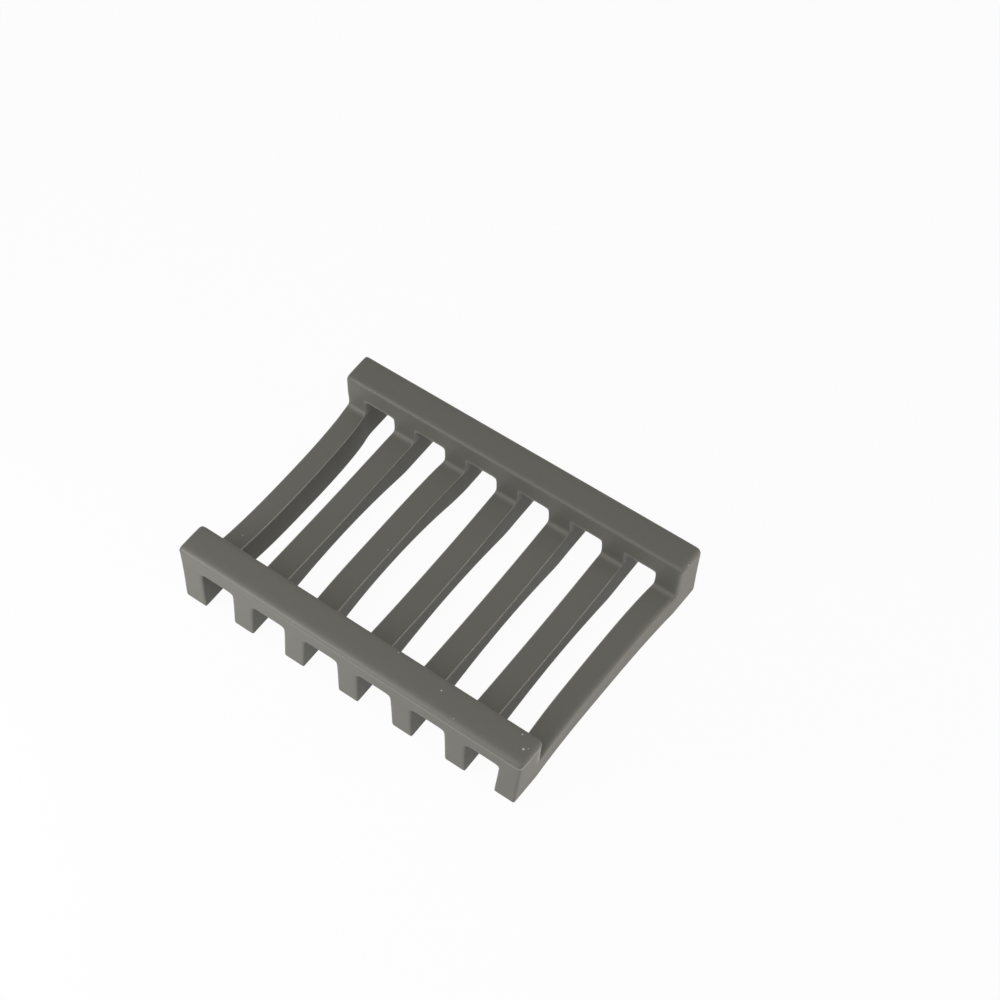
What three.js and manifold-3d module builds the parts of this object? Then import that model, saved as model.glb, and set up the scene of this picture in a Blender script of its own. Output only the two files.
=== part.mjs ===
// Draining soap dish in soft silicone: two long rails, the slats between them and a comb of feet.
// Millimetres, +Z up. X runs along the rails, and Y from the front rail to the rear one.
// The origin is on the surface that the dish stands on, under its middle.
import * as THREE from "three";
import { mergeVertices } from "three/addons/utils/BufferGeometryUtils.js";
import Module from "manifold-3d";

// Ribs: a slat with a foot at either end is one rib, and the ribs stand in a row along the rails
const RIB_COUNT = 7;
const RIB_WIDTH = 7.4; // at the roof of the drain slots
const SLOT_WIDTH = 10.55; // between two ribs, at the same height
const RIB_DRAFT = 0.3; // taken off each side of a rib by the time it reaches the base
const END_LEAN = 1.2; // how far the dish's two ends lean in, from the rail tops to the base

// Front to back
const TRAY_WIDTH = 65.4; // between the inner walls of the two rails, at their top
const WALL_DRAFT = 0.6; // how far each inner wall leans into the tray by the time it reaches the slats
const RAIL_WIDTH = 10; // at the rail's top
const HEEL_LENGTH = 6.1; // flat underside at each end of a slat, measured from the wall

// Heights, from the base up
const ARCH_RISE = 2.7; // clear height under the middle of an arched slat
const SLAT_THICKNESS = 6.2; // at the middle of an arched slat, where it is thinnest
const SLAT_SAG = 0.8; // from the ends of a slat's top down to its middle
const NOTCH_RISE = 5.1; // from the ends of a slat's top up to the roof of the drain slots
const RAIL_THICKNESS = 7.2; // from that roof to the rail's top

// Roundings
const WALL_FILLET = 2.2; // where a slat turns up into the wall
const NOTCH_RADIUS = 1.4; // in the upper corners of the drain slots
const RAIL_EDGE_RADIUS = 1.2; // along the rails' top edges
const RAIL_END_RADIUS = 0.9; // over the rails' ends
const FOOT_EDGE_RADIUS = 0.8; // round the lower edges of the feet

// Facets in each small rounding, and in a slat's long curves, where an odd count leaves a level middle
const ROUND_STEPS = 4;
const SLAT_STEPS = 11;

const SILICONE = { color: 0x6b6965, roughness: 0.6, metalness: 0 };

// Places that follow from the sizes above
const pitch = RIB_WIDTH + SLOT_WIDTH;
const length = RIB_COUNT * pitch - SLOT_WIDTH;
const slatEndTop = ARCH_RISE + SLAT_THICKNESS + SLAT_SAG;
const roof = slatEndTop + NOTCH_RISE;
const height = roof + RAIL_THICKNESS;
const wallTop = TRAY_WIDTH / 2;
const wallFoot = wallTop - WALL_DRAFT;
const face = wallTop + RAIL_WIDTH;
const slatEnd = wallFoot - WALL_FILLET;
const archEnd = wallFoot - HEEL_LENGTH;

const wasm = await Module();
wasm.setup();

// A closed outline through corners [across, up, radius]; a corner with no radius is sharp.
function outline(corners) {
  const shape = new THREE.Shape();
  corners.forEach(([across, up, radius = 0], index) => {
    const corner = new THREE.Vector2(across, up);
    const towards = ([x, y]) => new THREE.Vector2(x, y).sub(corner).setLength(radius).add(corner);
    const start = towards(corners.at(index - 1));
    const end = towards(corners[(index + 1) % corners.length]);
    if (index === 0) {
      shape.moveTo(start.x, start.y);
    } else if (!start.equals(shape.currentPoint)) {
      shape.lineTo(start.x, start.y);
    }
    if (radius > 0) {
      shape.quadraticCurveTo(corner.x, corner.y, end.x, end.y);
    }
  });
  return shape;
}

// An outline drawn in X and Z, run through the dish from front to back.
function frontToBack(shape) {
  const depth = 4 * face;
  const geometry = new THREE.ExtrudeGeometry(shape, { depth, bevelEnabled: false, curveSegments: ROUND_STEPS });
  return geometry.translate(0, 0, -depth / 2).rotateX(Math.PI / 2);
}

// A profile drawn in Y and Z, run through the dish from end to end.
function endToEnd(shape, curveSegments) {
  const depth = 2 * length;
  const geometry = new THREE.ExtrudeGeometry(shape, { depth, bevelEnabled: false, curveSegments });
  const axes = [new THREE.Vector3(0, 1, 0), new THREE.Vector3(0, 0, 1), new THREE.Vector3(1, 0, 0)];
  return geometry.translate(0, 0, -depth / 2).applyMatrix4(new THREE.Matrix4().makeBasis(...axes));
}

function solid(geometry) {
  geometry.deleteAttribute("normal");
  geometry.deleteAttribute("uv");
  const merged = mergeVertices(geometry);
  const vertProperties = merged.getAttribute("position").array;
  const triVerts = new Uint32Array(merged.getIndex().array);
  return new wasm.Manifold(new wasm.Mesh({ numProp: 3, vertProperties, triVerts }));
}

// Every member of the dish is what its front outline and its side profile have in common.
function member(front, side) {
  const { vertProperties, triVerts } = solid(front).intersect(solid(side)).getMesh();
  const geometry = new THREE.BufferGeometry();
  geometry.setAttribute("position", new THREE.BufferAttribute(vertProperties, 3));
  geometry.setIndex(new THREE.BufferAttribute(triVerts, 1));
  geometry.computeVertexNormals();
  return geometry;
}

function mesh(name, geometry) {
  const piece = new THREE.Mesh(geometry, new THREE.MeshStandardMaterial(SILICONE));
  piece.name = name;
  return piece;
}

// Rail: a bar with rounded top edges, whose ends lean in as the whole dish's ends do.
// side is -1 at the front and 1 at the rear, here and below.
function railGeometry(side) {
  const wallAtRoof = wallTop - (WALL_DRAFT * RAIL_THICKNESS) / (RAIL_THICKNESS + NOTCH_RISE);
  const front = outline([
    [-length / 2 + END_LEAN, 0],
    [length / 2 - END_LEAN, 0],
    [length / 2, height, RAIL_END_RADIUS],
    [-length / 2, height, RAIL_END_RADIUS],
  ]);
  const profile = outline([
    [side * face, roof],
    [side * wallAtRoof, roof],
    [side * wallTop, height, RAIL_EDGE_RADIUS],
    [side * face, height, RAIL_EDGE_RADIUS],
  ]);
  return member(frontToBack(front), endToEnd(profile, ROUND_STEPS));
}

// Front outline of a rib up to the roof of the slots, about its own middle.
// A side towards a slot flares into the roof, and a side at the dish's end carries on up the rail's end.
// end is -1 on the dish's leftmost rib, 1 on its rightmost and 0 on the ribs between.
function ribOutline(end) {
  const lean = end * (END_LEAN - RIB_DRAFT);
  const baseHalf = RIB_WIDTH / 2 - RIB_DRAFT;
  const endAtRoof = RIB_WIDTH / 2 - (END_LEAN * RAIL_THICKNESS) / height;
  const roofCorner = [RIB_WIDTH / 2, roof, NOTCH_RADIUS];
  const flareTip = [RIB_WIDTH / 2 + NOTCH_RADIUS, roof];
  const mirrored = ([across, ...rest]) => [-across, ...rest];
  const right = end === 1 ? [[endAtRoof, roof]] : [roofCorner, flareTip];
  const left = end === -1 ? [[endAtRoof, roof]] : [flareTip, roofCorner];
  return outline([
    [-baseHalf - lean, 0, FOOT_EDGE_RADIUS],
    [baseHalf - lean, 0, FOOT_EDGE_RADIUS],
    ...right,
    ...left.map(mirrored),
  ]);
}

// Side profile of a slat: dished on top and flat under its two ends.
// Between them it is arched, unless it is the first or last slat, which stands on its whole length.
function slatProfile(arched) {
  const shape = new THREE.Shape();
  shape.moveTo(-slatEnd, 0);
  if (arched) {
    shape.lineTo(-archEnd, 0);
    shape.quadraticCurveTo(0, 2 * ARCH_RISE, archEnd, 0);
  }
  shape.lineTo(slatEnd, 0);
  shape.lineTo(slatEnd, slatEndTop);
  shape.quadraticCurveTo(0, slatEndTop - 2 * SLAT_SAG, -slatEnd, slatEndTop);
  return shape;
}

// Side profile of a foot, with the wall above it and the fillet that runs out into the slat.
function footProfile(side) {
  return outline([
    [side * slatEnd, 0],
    [side * face, 0, FOOT_EDGE_RADIUS],
    [side * face, height],
    [side * wallTop, height],
    [side * wallFoot, slatEndTop, WALL_FILLET],
    [side * slatEnd, slatEndTop],
  ]);
}

// Rib: a slat and its two feet.
function rib(number) {
  const end = number === RIB_COUNT ? 1 : number === 1 ? -1 : 0;
  const front = () => frontToBack(ribOutline(end));
  const group = new THREE.Group();
  group.add(
    mesh(`slat_${number}`, member(front(), endToEnd(slatProfile(end === 0), SLAT_STEPS))),
    mesh(`front_foot_${number}`, member(front(), endToEnd(footProfile(-1), ROUND_STEPS))),
    mesh(`rear_foot_${number}`, member(front(), endToEnd(footProfile(1), ROUND_STEPS))),
  );
  group.position.x = (number - 1) * pitch - (length - RIB_WIDTH) / 2;
  return group;
}

const dish = new THREE.Group();
dish.add(mesh("front_rail", railGeometry(-1)), mesh("rear_rail", railGeometry(1)));
for (let number = 1; number <= RIB_COUNT; number += 1) {
  dish.add(rib(number));
}

export default dish;
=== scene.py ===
"""Draining soap dish: seven slats slung between two long rails, moulded in one dark grey silicone."""

import math

import bpy
import numpy as np
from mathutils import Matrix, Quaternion, Vector


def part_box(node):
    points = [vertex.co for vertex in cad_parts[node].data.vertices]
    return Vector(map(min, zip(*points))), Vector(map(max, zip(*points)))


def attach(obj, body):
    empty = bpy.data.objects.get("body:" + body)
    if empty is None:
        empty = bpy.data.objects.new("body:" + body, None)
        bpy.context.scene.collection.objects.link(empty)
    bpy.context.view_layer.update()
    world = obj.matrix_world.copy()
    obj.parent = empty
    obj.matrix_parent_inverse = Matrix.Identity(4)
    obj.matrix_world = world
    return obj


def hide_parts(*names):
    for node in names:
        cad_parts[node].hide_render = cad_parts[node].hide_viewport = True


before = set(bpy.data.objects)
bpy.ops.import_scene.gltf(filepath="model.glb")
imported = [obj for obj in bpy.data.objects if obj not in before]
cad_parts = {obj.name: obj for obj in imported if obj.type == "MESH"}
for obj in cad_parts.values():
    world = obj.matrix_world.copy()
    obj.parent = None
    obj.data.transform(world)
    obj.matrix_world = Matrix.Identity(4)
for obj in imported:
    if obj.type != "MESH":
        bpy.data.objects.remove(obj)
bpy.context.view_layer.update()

# Rails. Two level bars of silicone with rounded top edges hold the soap in along the front and the back.
# They are one moulding with the rest. Their ends lean in, a little differently at each corner, and the
# rear one is pressed slightly askew.
mm = 0.001
rail_low, rail_high = (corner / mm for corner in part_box("front_rail"))
half_length = rail_high.x
height = rail_high.z
roof = rail_low.z  # top of the drain slots, where the rail stands on its feet
face = -rail_low.y  # outer face of a rail, from the middle of the dish
rail_width = 10
wall_top = face - rail_width
wall_draft = 0.6
wall_foot = wall_top - wall_draft
left_lean = 1.1  # how far the ends lean in, from the rail tops to the base
right_lean = 1.25
right_twist = 0.55  # more lean at the front of the right end, and less at its rear
right_flare = 0.65  # how far the right end stands out at the rear
left_reach = 0.45  # how far the front rail's left end stands out
left_inset = 0.4  # how far the rear rail's left end is drawn in
rear_skew = 1.4  # how much nearer the front the rear rail's left end is than its right end

# Distances from an edge to the line of the mesh beside it, about 1.75 times the radius that comes out
backing = 2  # how many times as far off a second line lies, which keeps the rounding short
outer_round = 2.2
inner_round = 1.9
rail_end_round = 1.7
brow_round = 1.1
crown_back, crown_drop = 0.55, 0.25  # how far the outer top edges are drawn in, and down
end_crown_back, end_crown_drop = 0.3, 0.15  # the same for the top edges of the rails' ends
corner_back = {-1: -0.15, 1: 0.15}  # how far the rails' upper left and right corners are drawn in


def end_lean(side, y):
    """How far the left or right end of the dish has leaned in by the time it reaches the base."""
    return left_lean if side < 0 else right_lean - right_twist * y / face


def end_place(side, y, z):
    """Where the left or right end of the dish is, at some depth and height."""
    if side > 0:
        reach = right_flare * (0.5 + 0.5 * y / face)
    elif abs(y) < wall_foot:
        reach = 0
    else:
        reach = left_reach if y < 0 else -left_inset
    return side * (half_length + reach - end_lean(side, y) * (height - z) / height)


# Feet. A foot stands under the rail at each end of a slat, and water leaves between the feet.
# They are one moulding with the rails, into which they flare, and most have splayed a little.
rib_count = 7
pitch = ((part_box("slat_5")[0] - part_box("slat_4")[0]) / mm).x
rib_width = 7.4
rib_draft = 0.3  # taken off each side of a rib by the time it reaches the base
front_splay = {1: 0.4, 2: -0.6, 3: -0.8, 5: 0.4, 6: 0.2}  # sideways at the base, by the foot's number
rear_splay = {1: 1.1, 2: 0.5, 3: 0.3, 4: 0.45, 5: 0.5, 6: 0.5}
front_reach = {1: 0.7}  # forwards at the base
foot_round = 1.6
base_round = 1.2
toe_round = 1.0
notch_round = 2.4


def rib_edge(rib, side, y, z):
    """Where one side of a rib is, with the mould's draft and the lean of the dish's ends."""
    end = {0: -1, rib_count - 1: 1}.get(rib, 0)
    drop = max(0, 1 - z / roof)
    rearward = min(1, max(0, 0.5 + 0.5 * y / wall_top))
    splay = front_splay.get(rib + 1, 0) * (1 - rearward) + rear_splay.get(rib + 1, 0) * rearward
    if side == end:
        return end_place(side, y, z) + splay * drop
    middle = (rib - (rib_count - 1) / 2) * pitch
    edge = middle + side * (rib_width / 2 - rib_draft * drop) + splay * drop
    if end:
        return edge - end * (end_lean(end, y) - rib_draft) * drop
    return edge


# Slats. The soap lies on seven of them, dished on top; all but the end ones are arched underneath.
# They are one moulding with the feet, turn up into the walls with a fillet, and have bent a little.
seat = (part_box("slat_4")[1] / mm).z  # the slats' top, where it meets the wall
wall_fillet = 2.2
heel_length = 6.1
slat_end = wall_foot - wall_fillet
arch_end = wall_foot - heel_length
arch_rise = 2.7
slat_sag = 0.8
slat_bow = {1: 1.2, 2: -0.2, 3: -1.0, 4: 0.1, 5: 0.1, 7: -1.3}  # sideways at the slat's middle
slat_twist = {1: 0.65, 2: 0.45, 3: 0.5, 4: 0.2, 5: 0.15, 6: 0.25, 7: 0.5}  # further, at its underside
slat_outer_round = 1.9
fillet_round = 2.4

# The mould leaves a thin lip of flash round the top of each drain slot, and a finer line round the rails
# where its two halves part. Both are painted paler, partly in their own tone and partly as a painted
# highlight
flash_height = 0.12
flash_round = 0.25
flash_depth = 0.35
parting_drop = 1.9  # from the rails' top down to that line
parting_round = 0.4
parting_height = 0.13
parting_paleness = 0.5  # painted paleness on the rail's long face, partly a painted highlight; at its ends the line is as pale as the flash


def slat_place(rib, x, y, z):
    """Moves a point of a straight slat to where the dished, arched and bent one has it.

    The sideways bend is greatest at the slat's middle, and is gone where the slat meets the walls.
    """
    arched = 0 < rib < rib_count - 1
    floor = arched * arch_rise * max(0, 1 - (y / arch_end) ** 2)
    top = seat - slat_sag * max(0, 1 - (y / slat_end) ** 2)
    share = z / seat
    bend = slat_bow.get(rib + 1, 0) + slat_twist.get(rib + 1, 0) * (1 - share)
    return x + bend * (1 - abs(y / wall_top) ** 3), floor + share * (top - floor)


# The moulding. Rails, feet and slats are one soft silicone body, pressed in a two-part steel mould.
# It is drawn as a block of cells, whose outer faces are a cage that subdivision rounds off,
# and then cut into its members, which stay closed and share their normals where they meet.
IN_SLOT, EDGE, BESIDE_EDGE, INSIDE = range(4)
lengthwise = []  # lines from left to right: their rib, its left or right side, and where they run
for rib in range(rib_count):
    lengthwise += [(rib, -1, run) for run in (IN_SLOT, EDGE, BESIDE_EDGE, INSIDE)]
    lengthwise += [(rib, 1, run) for run in (INSIDE, BESIDE_EDGE, EDGE, IN_SLOT)]
lengthwise = lengthwise[1:-1]  # no slot lies beyond the first rib or the last

outer_depths = [face, face - outer_round, wall_top + inner_round, wall_top, wall_foot - fillet_round]
slat_lines = 10  # enough for the slats' curves
slat_depths = list(np.linspace(-arch_end, arch_end, slat_lines))
depths = [-depth for depth in outer_depths] + slat_depths + outer_depths[::-1]
AT_FACE = 0, len(depths) - 1
BESIDE_FACE = 1, len(depths) - 2
FRONT_WALL, REAR_WALL = depths.index(-wall_top), depths.index(wall_top)

parting = height - parting_drop
levels = [0, base_round, seat - backing * flash_depth, seat - flash_depth, seat]
levels += [roof - notch_round, roof, roof + brow_round]
levels += [parting - backing * parting_round, parting - parting_round, parting]
levels += [parting + parting_round, height]
TOE, BELOW_SEAT, UNDER_SEAT, SEAT, SPRING, ROOF = range(1, 7)
PARTING, TOP = levels.index(parting), levels.index(height)


def cage_point(across, along, up):
    """Place in millimetres of a crossing of three cage lines, and how pale it is painted, partly in the
    lip's own tone and partly as a painted highlight.
    """
    rib, side, run = lengthwise[across]
    y = depths[along]
    z = levels[up]
    outside = (rib, side) in ((0, -1), (rib_count - 1, 1))
    in_tray = FRONT_WALL < along < REAR_WALL
    at_wall = along in (FRONT_WALL, REAR_WALL)
    beside_flash = (in_tray or at_wall) and not outside
    towards_tray = -math.copysign(1, y)
    if along in BESIDE_FACE and up < PARTING:
        y = -towards_tray * (face - (toe_round if up <= TOE else foot_round))
    if outside and in_tray and up in (BELOW_SEAT, UNDER_SEAT):
        z = seat - slat_outer_round * (backing if up == BELOW_SEAT else 1)

    if up <= TOE:
        edge_round = toe_round
    elif beside_flash:
        edge_round = flash_round
    elif outside and (up >= PARTING or in_tray or at_wall):
        edge_round = rail_end_round
    else:
        edge_round = foot_round
    inset = {IN_SLOT: -notch_round, EDGE: 0, BESIDE_EDGE: edge_round, INSIDE: backing * edge_round}[run]
    x = rib_edge(rib, side, y, z) - side * inset
    if in_tray and up <= SEAT:
        x, z = slat_place(rib, x, y, z)
    if at_wall:
        y += towards_tray * wall_draft * min(1, (height - z) / (height - seat))

    at_end = outside and run == EDGE
    if up == TOP and along in AT_FACE:
        y += towards_tray * crown_back
        z -= crown_drop
    if up == TOP and at_end:
        x -= side * end_crown_back
        z -= end_crown_drop

    if up >= PARTING and along in AT_FACE and at_end:
        x -= side * corner_back[side]
        y += towards_tray * corner_back[side]
    if up == TOP and at_wall and at_end:
        x -= side * end_crown_back
        y -= towards_tray * end_crown_back

    # The parting line shows most at the front right corner, and is gone at the rear and on the left; its
    # paleness is partly a painted highlight
    flash_and_highlight = 0
    front_right = (0.5 + 0.5 * x / half_length) * (0.5 - 0.5 * y / face)
    on_slat = in_tray and up == SEAT and run == EDGE
    on_wall = at_wall and (SEAT <= up <= ROOF and run == EDGE or up == ROOF and run == IN_SLOT)
    # The lip round each slot is painted pale, partly in its own tone and partly as a painted highlight
    if not outside and (on_slat or on_wall):
        flash_and_highlight = 1
        x += side * flash_height * (run == EDGE)
        y += towards_tray * flash_height * (at_wall and up > SEAT)
        z += flash_height * (on_slat - (up == ROOF))
    elif up == PARTING and (along in AT_FACE or at_end):
        flash_and_highlight = front_right * (1 if at_end else parting_paleness)
        x += side * parting_height * front_right * at_end
        y -= towards_tray * parting_height * front_right * (along in AT_FACE)
    elif at_end and at_wall and SEAT < up < PARTING:
        flash_and_highlight = front_right

    if along < FRONT_WALL:
        y -= front_reach.get(rib + 1, 0) * max(0, 1 - z / roof)
    if along >= REAR_WALL - 1:
        y -= rear_skew * (0.5 - 0.5 * x / half_length)
    return (x, y, z), flash_and_highlight


def member_of(across, along, up):
    """Name of the CAD node that a cell belongs to, or nothing where the cell is empty."""
    rib, side, run = lengthwise[across]
    in_rib = run in (BESIDE_EDGE, INSIDE) or (run == EDGE and side == -1)
    end = "front" if along < len(depths) / 2 - 1 else "rear"
    in_rail = along < FRONT_WALL or along >= REAR_WALL
    in_foot = in_rail or (along in (FRONT_WALL, REAR_WALL - 1) and up < SEAT)
    if in_rail and (up >= ROOF or (in_rib and up >= SPRING)):
        return f"{end}_rail"
    if in_rib and in_foot:
        return f"{end}_foot_{rib + 1}"
    if in_rib and up < SEAT:
        return f"slat_{rib + 1}"
    return None


def cage_mesh():
    """Outer faces of the cells as a mesh, which carries the members and the pale lines, partly a painted
    highlight, as attributes.
    """
    cells = [range(len(lines) - 1) for lines in (lengthwise, depths, levels)]
    members = {}
    for across in cells[0]:
        for along in cells[1]:
            for up in cells[2]:
                name = member_of(across, along, up)
                if name:
                    members[across, along, up] = name
    corners = {}
    quads = []
    owners = []
    for cell, name in members.items():
        for axis in range(3):
            first, second = (axis + 1) % 3, (axis + 2) % 3
            for step in (0, 1):
                beyond = list(cell)
                beyond[axis] += 2 * step - 1
                if tuple(beyond) in members:
                    continue
                turn = [(0, 0), (1, 0), (1, 1), (0, 1)][::2 * step - 1]
                quad = []
                for one, two in turn:
                    corner = list(cell)
                    corner[axis] += step
                    corner[first] += one
                    corner[second] += two
                    quad.append(corners.setdefault(tuple(corner), len(corners)))
                quads.append(quad)
                owners.append(name)
    points = [cage_point(*corner) for corner in corners]
    mesh = bpy.data.meshes.new("moulding_cage")
    mesh.from_pydata([Vector(place) * mm for place, flash_and_highlight in points], [], quads)
    flash_and_highlight_layer = mesh.attributes.new("flash_and_highlight", "FLOAT", "POINT")
    flash_and_highlight_layer.data.foreach_set("value", [flash_and_highlight for place, flash_and_highlight in points])
    names = sorted(set(owners))
    member_layer = mesh.attributes.new("member", "INT", "FACE")
    member_layer.data.foreach_set("value", [names.index(name) for name in owners])
    return mesh, names


def rounded(mesh):
    """The subdivided mesh as arrays: points, normals, paleness of the lines (partly painted highlight),
    faces and the member of each face.

    Large faces weigh most in the normals, so that they look flat up to the small ones at their edges.
    """
    cage = bpy.data.objects.new("moulding_cage", mesh)
    bpy.context.scene.collection.objects.link(cage)
    smooth = cage.modifiers.new("rounding", "SUBSURF")
    smooth.levels = smooth.render_levels = 2
    smoothed = cage.evaluated_get(bpy.context.evaluated_depsgraph_get()).to_mesh()

    def read(items, field, width, kind):
        values = np.empty(len(items) * width, kind)
        items.foreach_get(field, values)
        return values.reshape(-1, width) if width > 1 else values

    points = read(smoothed.vertices, "co", 3, float)
    faces = read(smoothed.loops, "vertex_index", 1, int).reshape(-1, 4)
    flash_and_highlight = read(smoothed.attributes["flash_and_highlight"].data, "value", 1, float)
    members = read(smoothed.attributes["member"].data, "value", 1, int)
    corners = points[faces]
    facing = np.cross(corners[:, 2] - corners[:, 0], corners[:, 3] - corners[:, 1])
    normals = np.zeros_like(points)
    for corner in range(4):
        np.add.at(normals, faces[:, corner], facing)
    normals /= np.linalg.norm(normals, axis=1, keepdims=True)
    bpy.data.objects.remove(cage)
    bpy.data.meshes.remove(mesh)
    return points, normals, flash_and_highlight, faces, members


class Socket:
    """A shader socket that can stand in a Python expression; each operator adds its Math node."""

    def __init__(self, tree, socket=None):
        self.tree = tree
        self.socket = socket

    def node(self, kind, settings, inputs, output=0):
        """Adds a node, with its settings first and then the values or links of its sockets."""
        node = self.tree.nodes.new(f"ShaderNode{kind}")
        for name, value in settings.items():
            setattr(node, name, value)
        for name, value in inputs.items():
            if isinstance(value, Socket):
                self.tree.links.new(value.socket, node.inputs[name])
            else:
                node.inputs[name].default_value = value
        return Socket(self.tree, node.outputs[output] if node.outputs else None)

    def math(self, operation, first, second):
        """Adds a Math node for two values, of which either may be a socket."""
        return self.node("Math", {"operation": operation}, {0: first, 1: second})

    def __add__(self, other):
        return self.math("ADD", self, other)

    __radd__ = __add__

    def __mul__(self, other):
        return self.math("MULTIPLY", self, other)

    __rmul__ = __mul__


def mix(factor, first, second):
    """Blend of two colours, through the colour sockets of a Mix node."""
    settings = {"data_type": "RGBA"}
    return factor.node("Mix", settings, {0: factor, 6: first, 7: second}, output=2)


def new_material(name):
    """An empty node material and the socket that starts its expressions."""
    material = bpy.data.materials.new(name)
    material.use_nodes = True
    material.node_tree.nodes.clear()
    return material, Socket(material.node_tree)


def grey_silicone():
    """Matt silicone: clouded pigment, a fine blasted grain, paler lip and parting lines that are partly
    a painted highlight, and a few specks of dust.
    """
    material, start = new_material("grey_silicone")
    place = start.node("TexCoord", {}, {}, "Object")

    def noise(size, detail):
        return start.node("TexNoise", {}, {"Vector": place, "Scale": 1 / (size * mm), "Detail": detail})

    warm_grey = (0.154, 0.144, 0.126, 1)
    cool_grey = (0.141, 0.144, 0.123, 1)
    # Pale lines of lip and parting: partly their own paler tone, partly a painted highlight along these
    # edges
    flash_and_highlight_grey = (0.36, 0.345, 0.315, 1)
    pigment = mix(noise(size=3, detail=3), warm_grey, cool_grey)
    flash_and_highlight_share = start.node("Attribute", {"attribute_name": "flash_and_highlight"}, {}, "Fac")
    coloured = mix(flash_and_highlight_share, pigment, flash_and_highlight_grey)

    dust_grey = (0.55, 0.54, 0.5, 1)
    dust_spacing = 7
    dust_radius = 0.22
    dust_core = 0.6  # share of a speck's radius that is fully pale
    large_specks = [(54.6, -37.8, 0.42), (51.9, -34.4, 0.25), (34.6, -41.2, 0.25), (27.0, -36.3, 0.28)]

    def speck(distance, radius):
        limits = {"From Min": radius * mm, "From Max": dust_core * radius * mm}
        return start.node("MapRange", {}, {"Value": distance, **limits})

    nearest = start.node("TexVoronoi", {}, {"Vector": place, "Scale": 1 / (dust_spacing * mm)})
    dust = speck(nearest * (dust_spacing * mm), dust_radius)
    for x, y, radius in large_specks:
        on_rail = Vector((x, y, height)) * mm
        distance = start.node("VectorMath", {"operation": "DISTANCE"}, {0: place, 1: on_rail}, "Value")
        dust += speck(distance, radius)

    smoothest, roughness_range = 0.38, 0.1
    grain = {"Strength": 0.25, "Distance": 0.05 * mm, "Height": noise(size=0.35, detail=2)}
    inputs = {
        "Base Color": mix(dust, coloured, dust_grey),
        "Roughness": smoothest + roughness_range * noise(size=14, detail=2),
        "Specular IOR Level": 0.3,
        "Normal": start.node("Bump", {}, grain),
    }
    surface = start.node("BsdfPrincipled", {}, inputs)
    start.node("OutputMaterial", {}, {"Surface": surface})
    return material


def rims(quads):
    """Closed runs of vertices along the open edges of some faces, turned to cap them."""
    directed = set()
    for quad in quads:
        directed.update(zip(quad, quad[1:] + quad[:1]))
    following = {end: start for start, end in directed if (end, start) not in directed}
    while following:
        first, vertex = following.popitem()
        rim = [first]
        while vertex != first:
            rim.append(vertex)
            vertex = following.pop(vertex)
        yield rim


def cut_out(node):
    """Makes one member of the moulding a closed piece of its own, which stands for its CAD node."""
    own = faces[members == member_names.index(node)]
    kept, numbered = np.unique(own, return_inverse=True)
    quads = numbered.reshape(-1, 4).tolist()
    caps = list(rims(quads))
    mesh = bpy.data.meshes.new(node)
    mesh.from_pydata(points[kept], [], quads + caps)
    mesh.attributes.new("flash_and_highlight", "FLOAT", "POINT").data.foreach_set("value", flash_and_highlight[kept])
    mesh.shade_smooth()
    split_normals = []
    for polygon in mesh.polygons:
        if polygon.loop_total == 4:
            split_normals += normals[kept][list(polygon.vertices)].tolist()
        else:
            split_normals += [polygon.normal[:]] * polygon.loop_total
    mesh.normals_split_custom_set(split_normals)
    mesh.materials.append(silicone)
    piece = bpy.data.objects.new(f"{node}_silicone", mesh)
    bpy.context.scene.collection.objects.link(piece)
    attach(piece, "root")
    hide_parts(node)


cage, member_names = cage_mesh()
points, normals, flash_and_highlight, faces, members = rounded(cage)
silicone = grey_silicone()
for node in member_names:
    cut_out(node)

# Floor. A sheet of white plastic, wide enough to fill the view from any side, and lit a little from
# below. The camera sees most of it evenly white, with a faint shadow round the feet.
floor_half = 30  # in metres
floor_gap = 0.05 * mm
floor_mesh = bpy.data.meshes.new("floor")
floor_corners = [(-floor_half, -floor_half, 0), (floor_half, -floor_half, 0)]
floor_corners += [(floor_half, floor_half, 0), (-floor_half, floor_half, 0)]
floor_mesh.from_pydata(floor_corners, [], [(0, 1, 2, 3)])
floor = bpy.data.objects.new("floor", floor_mesh)
floor.location.z = -floor_gap
bpy.context.scene.collection.objects.link(floor)


def ray_kinds(start):
    """Two switches: 1 for rays straight from the camera, and 1 for rays off gloss or through glass."""
    camera_ray = start.node("LightPath", {}, {}, "Is Camera Ray")
    glossy_ray = start.node("LightPath", {}, {}, "Is Glossy Ray")
    glass_ray = start.node("LightPath", {}, {}, "Is Transmission Ray")
    return camera_ray, start.math("MAXIMUM", glossy_ray, glass_ray)


white_sheet, start = new_material("white_sheet")
sheet_white = (0.93, 0.93, 0.93, 1)
even_share = 0.95  # how much of the sheet is evenly white to the camera
mirror_share = 0.5  # in reflections, which keep more of its shadows
glow_share = 0.12  # as light for the dish
seen, mirrored = ray_kinds(start)
sheet = start.node("BsdfDiffuse", {}, {"Color": sheet_white})
even_white = start.node("Emission", {}, {"Strength": 1})
lit_share = glow_share + (even_share - glow_share) * seen + (mirror_share - glow_share) * mirrored
surface = start.node("MixShader", {}, {0: lit_share, 1: sheet, 2: even_white})
start.node("OutputMaterial", {}, {"Surface": surface})
floor_mesh.materials.append(white_sheet)

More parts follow.
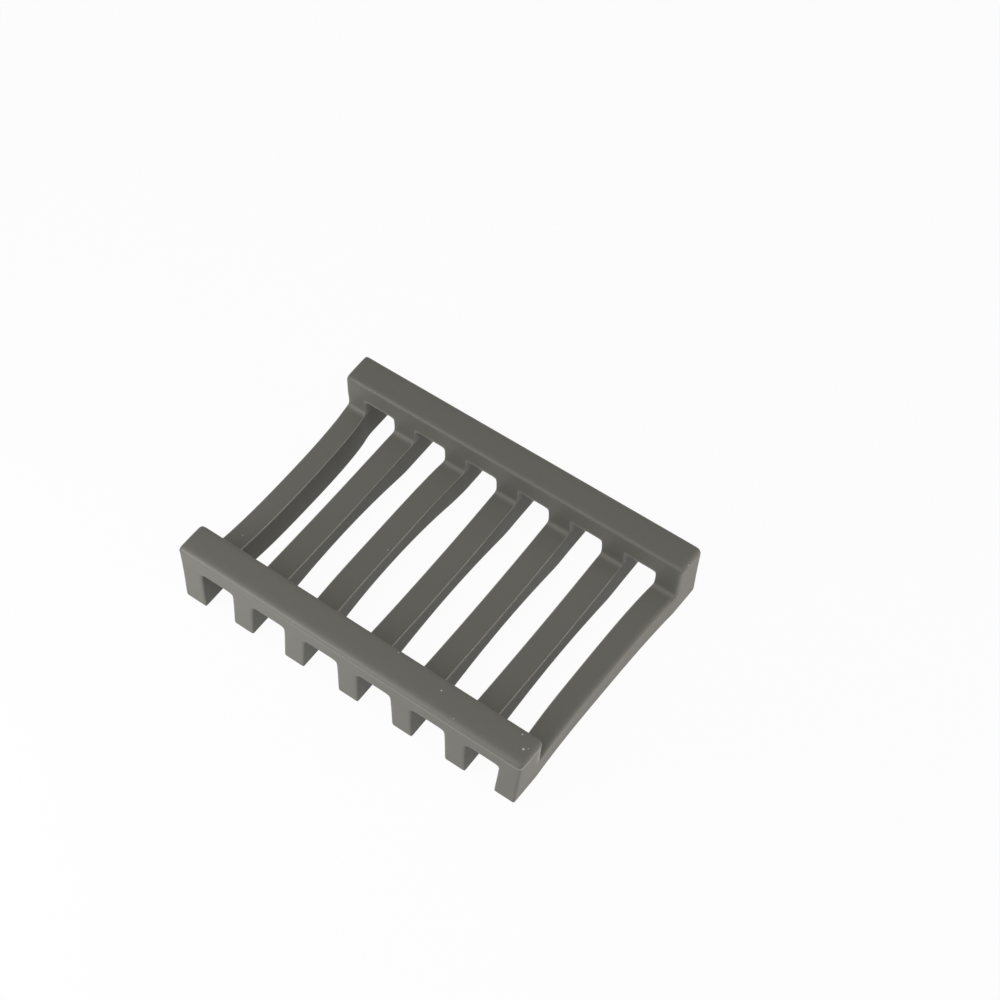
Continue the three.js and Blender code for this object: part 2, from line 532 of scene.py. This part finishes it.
# Studio. A soft lamp stands low in front of the dish, near its left, so the front darkens to the right.
# A warmer one lights the right end from just over the floor, without a glint, and a wide one hangs high
# in front. They stand in an even dim room, which the camera and all reflections see as white.
room = bpy.data.worlds.new("room")
bpy.context.scene.world = room
room.use_nodes = True
room.node_tree.nodes.clear()
start = Socket(room.node_tree)
room_level = 0.18
seen, mirrored = ray_kinds(start)
room_strength = room_level + (1 - room_level) * (seen + mirrored)
room_light = start.node("Background", {}, {"Color": (1, 1, 1, 1), "Strength": room_strength})
start.node("OutputWorld", {}, {"Surface": room_light})


def soft_lamp(name, azimuth, elevation, distance, size, level, colour=(1, 1, 1), glint=True):
    """A round soft box that faces the dish, with its distance and size in metres.

    level is about how bright a white card comes out that lies where the dish is and faces the lamp.
    """
    lamp_data = bpy.data.lights.new(name, "AREA")
    lamp_data.shape = "DISK"
    lamp_data.size = size
    lamp_data.color = colour
    lamp_data.energy = level * math.pi ** 2 * distance ** 2
    turn, lift = math.radians(azimuth), math.radians(elevation)
    level_direction = Vector((math.sin(turn), -math.cos(turn), 0))
    direction = math.cos(lift) * level_direction + Vector((0, 0, math.sin(lift)))
    lamp = bpy.data.objects.new(name, lamp_data)
    lamp.location = distance * direction
    lamp.rotation_euler = direction.to_track_quat("Z", "Y").to_euler()
    lamp.visible_camera = False
    lamp.visible_glossy = glint
    bpy.context.scene.collection.objects.link(lamp)


soft_lamp("front_lamp", azimuth=-28, elevation=8, distance=0.27, size=0.16, level=0.55)
soft_lamp("end_lamp", azimuth=108, elevation=3, distance=0.6, size=0.1, level=0.57,
          colour=(1, 0.9, 0.88), glint=False)
soft_lamp("top_lamp", azimuth=0, elevation=62, distance=0.8, size=1.2, level=0.71)

# Camera. It looks down on the dish from the front right, from about 0.7 m, and is turned slightly.
# It aims at the floor under the rear rail, so that the dish lies low in the picture.
camera_data = bpy.data.cameras.new("camera")
camera_data.lens = 89.465
camera_data.clip_start = 10 * mm
camera_place = Vector((221.56, -301.72, 591.94)) * mm
camera_aim = Vector((-4.44, 34.95, 0)) * mm
camera_roll = math.radians(2.12)
camera = bpy.data.objects.new("camera", camera_data)
camera.location = camera_place
turned = (camera_aim - camera_place).to_track_quat("-Z", "Y") @ Quaternion((0, 0, 1), camera_roll)
camera.rotation_euler = turned.to_euler()
bpy.context.scene.collection.objects.link(camera)
bpy.context.scene.camera = camera
bpy.context.scene.view_settings.view_transform = "Standard"
